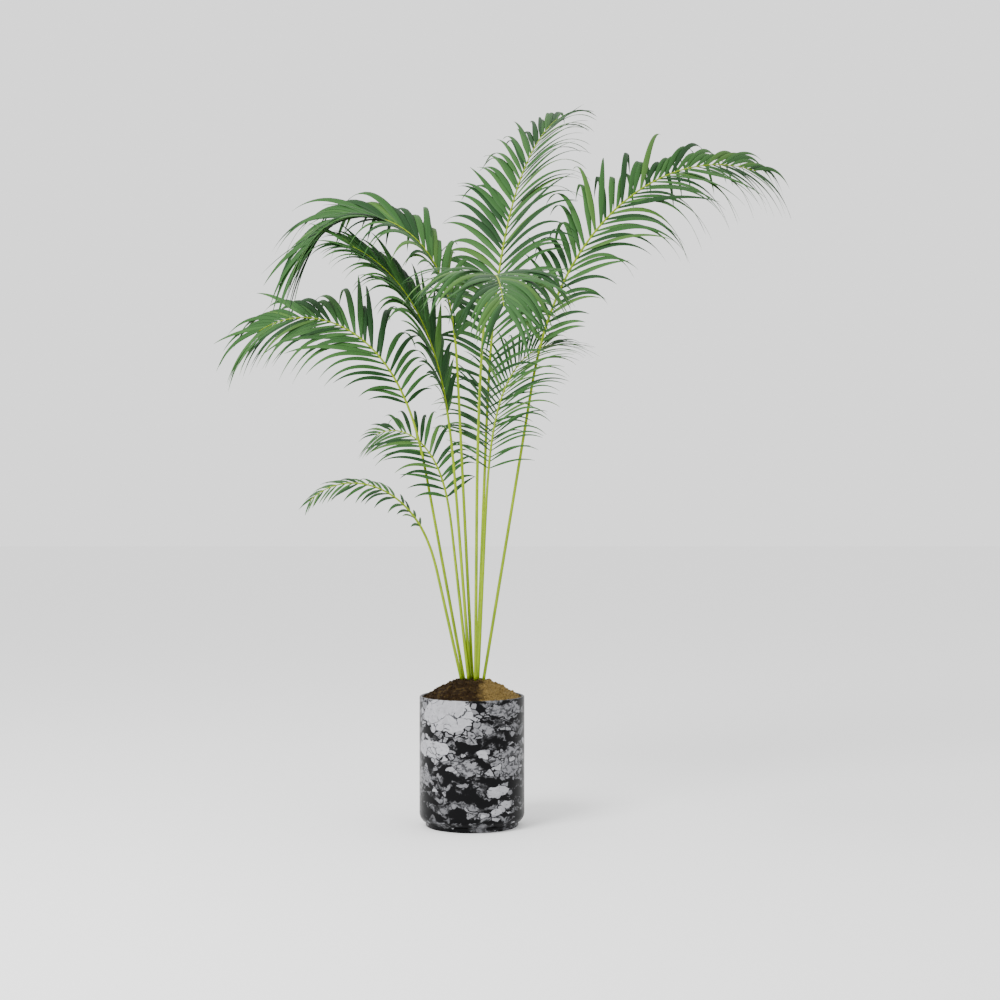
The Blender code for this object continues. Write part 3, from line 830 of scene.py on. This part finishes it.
def mound_height(radius):
    """Height of the soil at a distance from the pot's axis."""
    corners = (
        (SOIL_TOP_WIDTH / 2, SOIL_TOP_HEIGHT),
        (SOIL_SHOULDER_WIDTH / 2, SOIL_SHOULDER_HEIGHT),
        (bpy.context.scene.palm_pot.width / 2 - POT_WALL, SOIL_EDGE_HEIGHT),
    )
    if radius <= corners[0][0]:
        return corners[0][1]
    for (near, high), (far, low) in zip(corners, corners[1:]):
        if radius <= far:
            return between(high, low, (radius - near) / (far - near))
    return corners[-1][1]


def lumps(x, y, relief):
    """Uneven ground: broad lumps with finer ones on them."""
    broad = noise.noise(Vector((x * BROAD_LUMPS, y * BROAD_LUMPS, 0)))
    fine = noise.noise(Vector((x * FINE_LUMPS, y * FINE_LUMPS, FINE_LAYER)))
    return relief * (broad * BROAD_SHARE + fine * FINE_SHARE)


def heap_soil(edge, soil, finish):
    """Fills the pot and heaps the mound, whose open ground is uneven."""
    profile = [(0, POT_FLOOR + GAP), (edge, POT_FLOOR + GAP)]
    for index in range(MOUND_RINGS + 1):
        radius = edge * (1 - index / MOUND_RINGS)
        profile.append((radius, mound_height(radius)))
    bm = turned(profile, MOUND_STEPS)
    for corner in bm.verts:
        if corner.co.z > SOIL_EDGE_HEIGHT - GAP:
            corner.co.z += lumps(corner.co.x, corner.co.y, soil.relief)
    mound = piece_from("soil_mound", bm, [finish], "soil", "soil")
    mound.data.shade_smooth()


def strew_crumbs(edge, soil, finish):
    """Lays loose crumbs all over the mound, each a small ball with its corners pushed in or out."""
    chance = random.Random(CRUMB_SEED)
    bm = bmesh.new()
    bmesh.ops.create_icosphere(bm, subdivisions=1, radius=1)
    template = mesh_from("crumb", bm)
    bm = bmesh.new()
    for _ in range(soil.crumbs):
        turn = chance.uniform(0, 2 * math.pi)
        radius = (edge - soil.crumb_size) * math.sqrt(chance.random())
        x = radius * math.cos(turn)
        y = radius * math.sin(turn)
        size = soil.crumb_size * chance.uniform(LEAST_CRUMB_DRAW, 1) ** 2
        middle = Vector((x, y, mound_height(radius) + lumps(x, y, soil.relief)))
        first = len(bm.verts)
        bm.from_mesh(template)
        bm.verts.ensure_lookup_table()
        for corner in bm.verts[first:]:
            shape = 1 + chance.uniform(-CRUMB_UNEVENNESS, CRUMB_UNEVENNESS)
            corner.co = middle + corner.co * size * shape
    bpy.data.meshes.remove(template)
    piece_from("soil_crumbs", bm, [finish], "soil")


class PALM_OT_soil(bpy.types.Operator):
    """Heap the soil and strew its crumbs"""

    bl_idname = "palm.soil"
    bl_label = "Soil"

    def execute(self, context):
        scene = context.scene
        edge = scene.palm_pot.width / 2 - POT_WALL - GAP
        finish = soil_finish(scene.palm_colours)
        heap_soil(edge, scene.palm_soil, finish)
        strew_crumbs(edge, scene.palm_soil, finish)
        return {"FINISHED"}


def leaflet_template(settings):
    """A flat strip from root to point, whose last row closes on one corner, with its own UV map."""
    bm = bmesh.new()
    bmesh.ops.create_grid(bm, x_segments=settings.columns, y_segments=settings.rows, size=STRIP_HALF)
    uv_layer = bm.loops.layers.uv.new("UVMap")
    for face in bm.faces:
        for loop in face.loops:
            loop[uv_layer].uv = (loop.vert.co.x + STRIP_HALF, loop.vert.co.y + STRIP_HALF)
    tip = [corner for corner in bm.verts if corner.co.y > STRIP_HALF - MERGE_DISTANCE]
    bmesh.ops.pointmerge(bm, verts=tip, merge_co=(0, STRIP_HALF, 0))
    return mesh_from("leaflet", bm)


def lay_leaflet(bm, template, leaflet, root, settings, finish_index):
    """Adds one strip and bends it along the leaflet, with its middle folded up."""
    first_corner = len(bm.verts)
    first_face = len(bm.faces)
    bm.from_mesh(template)
    bm.verts.ensure_lookup_table()
    bm.faces.ensure_lookup_table()
    rows = []
    middle = root
    for index in range(settings.rows + 1):
        share = index / settings.rows
        across, face = leaflet_axes(leaflet, share)[1:]
        rows.append((middle, across, face, leaflet_half_width(leaflet, share)))
        along = leaflet_axes(leaflet, min(1.0, share + 0.5 / settings.rows))[0]
        middle = middle + along * (leaflet.length / settings.rows)
    for corner in bm.verts[first_corner:]:
        middle, across, face, half = rows[round((corner.co.y + STRIP_HALF) * settings.rows)]
        place = corner.co.x / STRIP_HALF
        rise = settings.fold * half * (1 - abs(place))
        corner.co = middle + across * (place * half) + face * rise
    for face in bm.faces[first_face:]:
        face.material_index = finish_index
        face.smooth = True


def rib_rings(rib, settings):
    """Rings along the whole midrib from the soil to its tip, with a shallow channel along its leafy top."""
    count = math.ceil(rib.frond.length / settings.rib_step)
    rings = []
    for index in range(count + 1):
        station = rib.frond.length * index / count
        forward, sideways, upper = rib.axes(station)
        middle = rib.point(station)
        channel = CHANNEL_DEPTH * smooth_rise((station - rib.frond.leafy_from) / CHANNEL_RUN_IN)
        points = []
        for side in range(settings.rib_sides):
            turn = 2 * math.pi * side / settings.rib_sides
            flute = 1 - channel * max(0.0, math.sin(turn)) ** CHANNEL_SHARPNESS
            offset = (sideways * math.cos(turn) + upper * math.sin(turn)) * rib.radius(station) * flute
            if index == 0:
                offset -= forward * (offset.z / forward.z)
            points.append(middle + offset)
        rings.append(points)
    return rings


class PALM_OT_stalks(bpy.types.Operator):
    """Draw out every stalk and midrib"""

    bl_idname = "palm.stalks"
    bl_label = "Stalks"

    def execute(self, context):
        settings = context.scene.palm_fronds
        finish = stalk_finish(context.scene.palm_colours)
        for frond in FRONDS:
            bm = bmesh.new()
            skin(bm, rib_rings(Midrib(frond), settings))
            bmesh.ops.recalc_face_normals(bm, faces=bm.faces)
            name = f"stalk_{frond.number}"
            stalk = piece_from(f"{name}_fine", bm, [finish], "stalk", name)
            stalk.data.shade_smooth()
        return {"FINISHED"}


class PALM_OT_leaflets(bpy.types.Operator):
    """Feather every frond"""

    bl_idname = "palm.leaflets"
    bl_label = "Leaflets"

    def execute(self, context):
        settings = context.scene.palm_fronds
        colours = context.scene.palm_colours
        greens = (colours.green_one, colours.green_two, colours.green_three, colours.green_four)
        finishes = [leaf_finish(f"leaf green {index + 1}", green) for index, green in enumerate(greens)]
        template = leaflet_template(settings)
        chance = random.Random(LEAF_SEED)
        for frond in FRONDS:
            rib = Midrib(frond)
            bm = bmesh.new()
            for leaflet in leaflets_of(frond, rib):
                finish_index = chance.choices(range(len(greens)), weights=GREEN_SHARES)[0]
                lay_leaflet(bm, template, leaflet, rib.point(leaflet.station), settings, finish_index)
            bmesh.ops.solidify(bm, geom=bm.faces, thickness=settings.thickness)
            bmesh.ops.recalc_face_normals(bm, faces=bm.faces)
            nodes = (f"frond_{frond.number}_lower", f"frond_{frond.number}_outer")
            piece_from(f"frond_{frond.number}_leaflets", bm, finishes, "leaf", *nodes)
        bpy.data.meshes.remove(template)
        return {"FINISHED"}


def lay_floor(scene, width):
    """A wide pale floor, which isn't part of the plant."""
    bm = bmesh.new()
    bmesh.ops.create_grid(bm, x_segments=1, y_segments=1, size=width / 2)
    mesh = mesh_from("studio_floor", bm)
    pale, nodes, shader = new_material("studio floor")
    nodes.feed(shader, {"Base Color": rgba(FLOOR_COLOUR), "Roughness": FLOOR_ROUGHNESS})
    mesh.materials.append(pale)
    floor = bpy.data.objects.new("studio_floor", mesh)
    scene.collection.objects.link(floor)


def light_room(scene, room, power):
    """An evenly bright room, and one large round light high on the left in front of the plant."""
    world = bpy.data.worlds.new("studio")
    world.use_nodes = True
    background = world.node_tree.nodes["Background"]
    Nodes(world.node_tree).feed(background, {"Color": rgba(ROOM_COLOUR), "Strength": room})
    scene.world = world

    key = bpy.data.lights.new("key", "AREA")
    key.shape = "DISK"
    key.size = KEY_LIGHT_SIZE
    key.energy = power
    key_object = bpy.data.objects.new("key", key)
    key_object.location = KEY_LIGHT_PLACE
    away = key_object.location - Vector(KEY_LIGHT_TARGET)
    key_object.rotation_euler = away.to_track_quat("Z", "Y").to_euler()
    scene.collection.objects.link(key_object)


def set_camera(scene, place, lens):
    """A level camera that looks along +Y."""
    camera = bpy.data.cameras.new("camera")
    camera.lens = lens
    camera.sensor_width = SENSOR_WIDTH
    camera_object = bpy.data.objects.new("camera", camera)
    camera_object.location = place
    camera_object.rotation_euler = LEVEL_VIEW
    scene.collection.objects.link(camera_object)
    scene.camera = camera_object


class PALM_OT_stage(bpy.types.Operator):
    """Set up the floor, the light and the camera"""

    bl_idname = "palm.stage"
    bl_label = "Stage"

    def execute(self, context):
        scene = context.scene
        stage = scene.palm_stage
        lay_floor(scene, stage.floor)
        light_room(scene, stage.world, stage.key)
        set_camera(scene, stage.camera, stage.lens)
        return {"FINISHED"}


OPERATORS = (PALM_OT_pot, PALM_OT_soil, PALM_OT_stalks, PALM_OT_leaflets, PALM_OT_stage)
GROUPS = {
    "palm_pot": PotSettings,
    "palm_soil": SoilSettings,
    "palm_fronds": FrondSettings,
    "palm_colours": ColourSettings,
    "palm_stage": StageSettings,
}


class PALM_PT_panel(bpy.types.Panel):
    """Lists the steps that dress the palm"""

    bl_idname = "PALM_PT_panel"
    bl_label = "Potted Feather Palm"
    bl_space_type = "VIEW_3D"
    bl_region_type = "UI"
    bl_category = "Palm"

    def draw(self, context):
        for operator in OPERATORS:
            self.layout.operator(operator.bl_idname)


def register():
    for settings in GROUPS.values():
        bpy.utils.register_class(settings)
    for name, settings in GROUPS.items():
        setattr(bpy.types.Scene, name, PointerProperty(type=settings))
    for operator in OPERATORS:
        bpy.utils.register_class(operator)
    bpy.utils.register_class(PALM_PT_panel)


def unregister():
    bpy.utils.unregister_class(PALM_PT_panel)
    for operator in reversed(OPERATORS):
        bpy.utils.unregister_class(operator)
    for name in GROUPS:
        delattr(bpy.types.Scene, name)
    for settings in reversed(list(GROUPS.values())):
        bpy.utils.unregister_class(settings)


def main():
    register()
    bpy.ops.palm.pot()
    bpy.ops.palm.soil()
    bpy.ops.palm.stalks()
    bpy.ops.palm.leaflets()
    bpy.ops.palm.stage()


if __name__ == "__main__":
    main()
